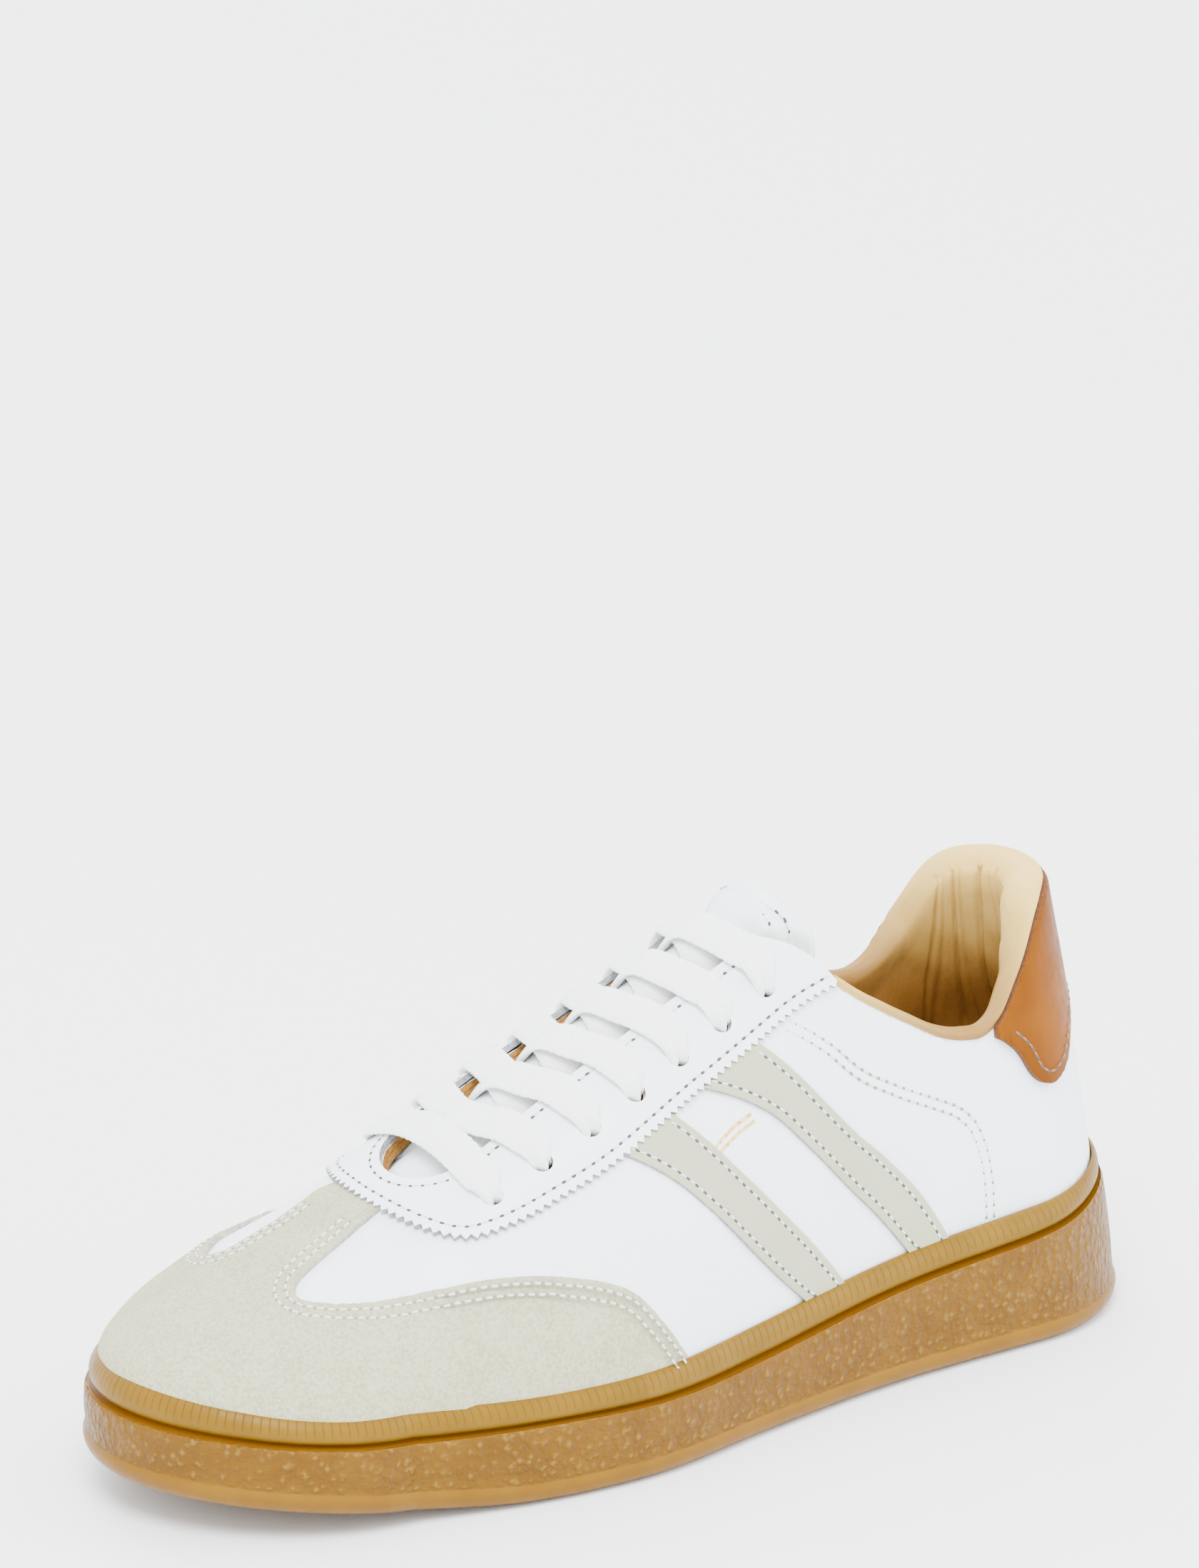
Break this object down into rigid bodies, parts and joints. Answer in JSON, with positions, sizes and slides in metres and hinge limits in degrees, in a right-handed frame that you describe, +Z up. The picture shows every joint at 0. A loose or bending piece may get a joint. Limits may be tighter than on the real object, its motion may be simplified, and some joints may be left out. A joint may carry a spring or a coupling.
{
  "type": "low court shoe",
  "caption": "Low lace-up court shoe with a leather upper, suede toe cap, padded collar, hinged tongue and gum rubber cup sole.",
  "frame": {"origin": "centre of the bounding box at the bottom of the sole", "axes": "+X towards the heel (toe at -X), -Y the outer side of the left foot, +Z up; millimetre model at real size"},
  "size_m": [0.2758, 0.1034, 0.1159],
  "materials": {
    "white_leather": "smooth corrected-grain white leather, soft sheen",
    "suede": "light greige suede with a short brushed nap",
    "stripe_leather": "smooth cream leather with dark cut edges",
    "backing": "tan split-leather reinforcement, matt",
    "tan_leather": "glossy tan vegetable-tanned leather with a raw edge",
    "lining": "beige glove leather, fine grain and soft wrinkles",
    "lining_brown": "tan lining leather, matt",
    "foam": "open-cell padding foam, hidden",
    "stiffener": "thermoformed stiffener sheet, hidden",
    "gum_rubber": "translucent gum rubber: ribbed rand, dark groove, pebbled wall",
    "board": "cellulose insole board, hidden",
    "lace": "flat woven white cotton",
    "aglet": "clear-white lace tip"
  },
  "bodies": {
    "shoe": {"cupsole": "gum_rubber", "midsole_foam": "foam", "insole_board": "board", "sockliner": "lining_brown", "quarter_lateral": "white_leather", "quarter_medial": "white_leather", "vamp_lining_lateral": "lining", "vamp_lining_medial": "lining", "stripe_rear_lateral": "stripe_leather", "stripe_rear_medial": "stripe_leather", "stripe_front_lateral": "stripe_leather", "stripe_front_medial": "stripe_leather", "toe_cap": "suede", "toe_puff": "stiffener", "eyestay": "white_leather", "eyestay_backing": "backing", "quarter_lining": "lining_brown", "heel_counter": "stiffener", "collar_foam": "foam", "collar_lining": "lining", "heel_tab": "tan_leather", "shoelace": "lace", "aglet_lateral": "aglet", "aglet_medial": "aglet"},
    "tongue": {"tongue_shell": "white_leather", "tongue_foam": "foam", "tongue_lining": "lining"}
  },
  "joints": [
    {"name": "tongue_fold", "type": "hinge", "parent": "shoe", "child": "tongue", "pos_m": [-0.0649, 0.0003, 0.058], "axis": [0, 1, 0], "range_deg": [0, 12]}
  ]
}
